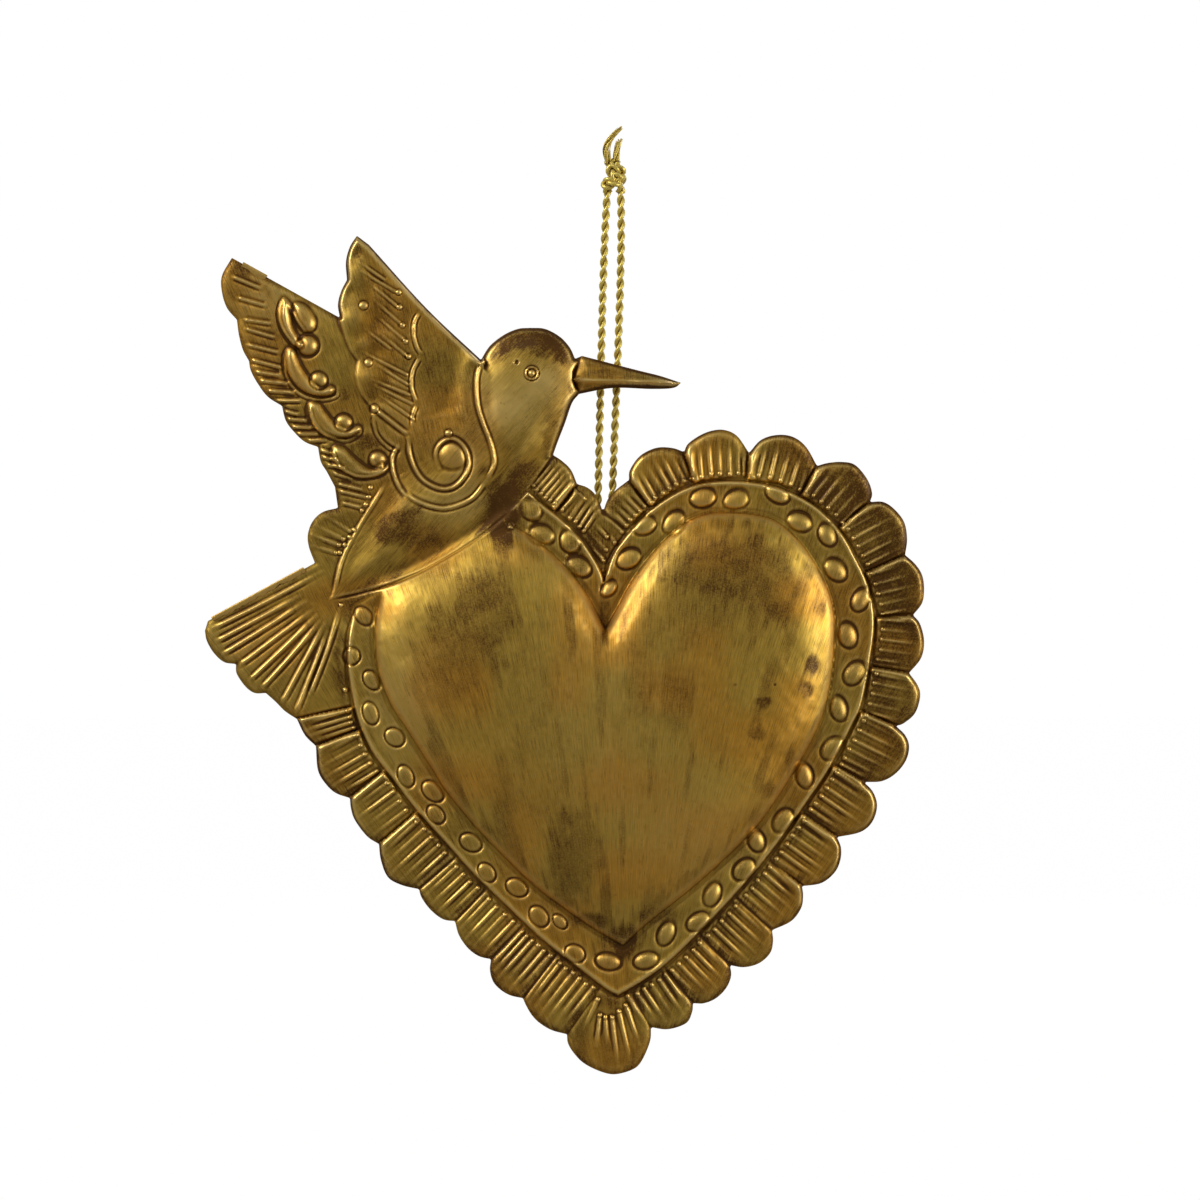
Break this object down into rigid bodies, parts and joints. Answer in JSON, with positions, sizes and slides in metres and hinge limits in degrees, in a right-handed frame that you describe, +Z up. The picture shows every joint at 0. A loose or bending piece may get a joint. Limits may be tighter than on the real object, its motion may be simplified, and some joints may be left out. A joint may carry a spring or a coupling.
{
  "type": "hanging tin heart ornament",
  "caption": "Hollow embossed tin heart with a hummingbird, scalloped rim and beaded band, hung by a wire ring on a knotted gold cord.",
  "frame": {"origin": "hang point between the cord's legs, just under the knot", "axes": "+X to the ornament's right as seen from the front, +Z up, the front faces -Y"},
  "size_m": [0.1818, 0.0242, 0.2402],
  "materials": {
    "gilded_tin": "antiqued gold over embossed tin, dark brown in the recesses, brushed and worn bright on the edges",
    "solder": "dull soft solder",
    "wire": "dull brass-coloured wire",
    "gold_cord": "two-ply twisted metallic gold cord"
  },
  "bodies": {
    "cord": {"cord_loop": "gold_cord", "cord_knot": "gold_cord", "cord_end_long": "gold_cord", "cord_end_short": "gold_cord"},
    "ornament": {"front_sheet": "gilded_tin", "back_sheet": "gilded_tin", "seam_solder": "solder", "hanging_ring": "wire", "ring_solder": "solder"}
  },
  "joints": [
    {"name": "ornament_swing", "type": "hinge", "parent": "cord", "child": "ornament", "pos_m": [-0.0023, 0, -0.08232], "axis": [1, 0, 0], "range_deg": [0, 85]}
  ]
}
